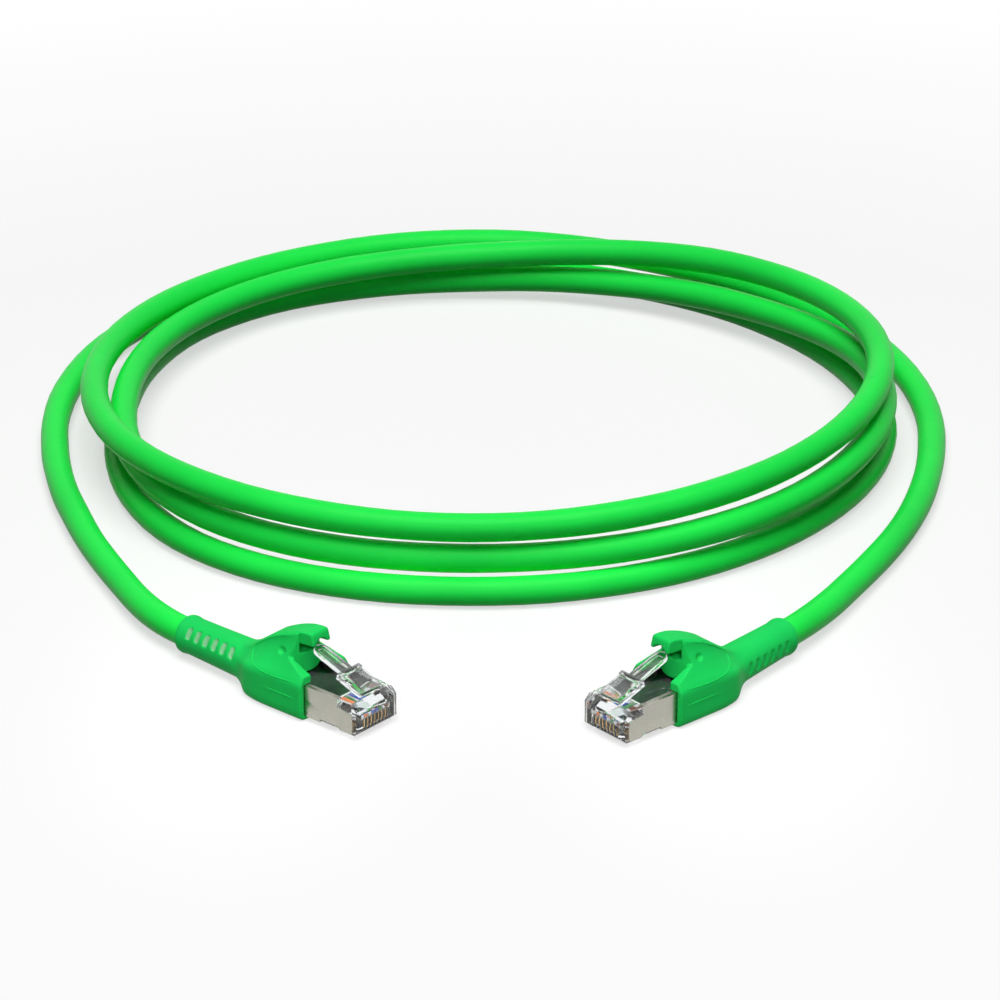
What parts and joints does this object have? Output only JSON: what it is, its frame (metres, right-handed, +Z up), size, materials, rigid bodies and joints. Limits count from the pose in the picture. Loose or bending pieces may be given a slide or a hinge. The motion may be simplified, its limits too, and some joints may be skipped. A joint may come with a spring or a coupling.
{
  "type": "ethernet patch cable",
  "caption": "Coiled shielded ethernet patch cable with a clear 8P8C modular plug, sprung latch and snag-free boot at each end.",
  "frame": {"origin": "on the table, in the middle of the box around the two plugs", "axes": "+X from plug A to plug B along their longest extent, +Y towards the coil, +Z up from the table"},
  "size_m": [0.1969, 0.2374, 0.0219],
  "materials": {
    "jacket_green": "smooth PVC, half gloss",
    "boot_green": "moulded soft PVC, satin",
    "clear_plastic": "clear polycarbonate",
    "nickel_steel": "nickel-plated sheet",
    "gold_contacts": "gold-plated phosphor bronze",
    "black_plastic": "moulded",
    "orange_insulation": "smooth",
    "green_insulation": "smooth",
    "blue_insulation": "smooth",
    "brown_insulation": "smooth",
    "foil": "bright foil",
    "braid": "tinned copper braid"
  },
  "bodies": {
    "cable": {"cable_coil": "jacket_green", "cable_tail_a": "jacket_green", "cable_tail_b": "jacket_green", "boot_a": "boot_green", "housing_a": "clear_plastic", "shield_a": "nickel_steel", "contacts_a": "gold_contacts", "wire_guide_a": "black_plastic", "orange_wires_a": "orange_insulation", "green_wires_a": "green_insulation", "blue_wires_a": "blue_insulation", "brown_wires_a": "brown_insulation", "pair_foils_a": "foil", "braid_a": "braid", "braid_fold_a": "braid", "jacket_end_a": "jacket_green", "boot_b": "boot_green", "housing_b": "clear_plastic", "shield_b": "nickel_steel", "contacts_b": "gold_contacts", "wire_guide_b": "black_plastic", "orange_wires_b": "orange_insulation", "green_wires_b": "green_insulation", "blue_wires_b": "blue_insulation", "brown_wires_b": "brown_insulation", "pair_foils_b": "foil", "braid_b": "braid", "braid_fold_b": "braid", "jacket_end_b": "jacket_green"},
    "latch_a": {"latch_a": "clear_plastic"},
    "press_tab_a": {"press_tab_a": "boot_green"},
    "latch_b": {"latch_b": "clear_plastic"},
    "press_tab_b": {"press_tab_b": "boot_green"}
  },
  "joints": [
    {"name": "latch_a_hinge", "type": "hinge", "parent": "cable", "child": "latch_a", "pos_m": [-0.02259, -0.01312, 0.0084], "axis": [-0.6561, -0.7547, 0], "range_deg": [0, 10], "stiffness_Nm_per_rad": 0.25},
    {"name": "press_tab_a_hinge", "type": "hinge", "parent": "cable", "child": "press_tab_a", "pos_m": [-0.04267, 0.00433, 0.01106], "axis": [0.6561, 0.7547, 0], "range_deg": [0, 10.5]},
    {"name": "latch_b_hinge", "type": "hinge", "parent": "cable", "child": "latch_b", "pos_m": [0.02423, -0.01627, 0.0084], "axis": [-0.66, 0.7513, 0], "range_deg": [0, 10], "stiffness_Nm_per_rad": 0.25},
    {"name": "press_tab_b_hinge", "type": "hinge", "parent": "cable", "child": "press_tab_b", "pos_m": [0.04422, 0.00129, 0.01106], "axis": [0.66, -0.7513, 0], "range_deg": [0, 10.5]}
  ],
  "couplings": [
    {"joint": "press_tab_a_hinge", "follows": "latch_a_hinge", "ratio": 1.05},
    {"joint": "press_tab_b_hinge", "follows": "latch_b_hinge", "ratio": 1.05}
  ]
}
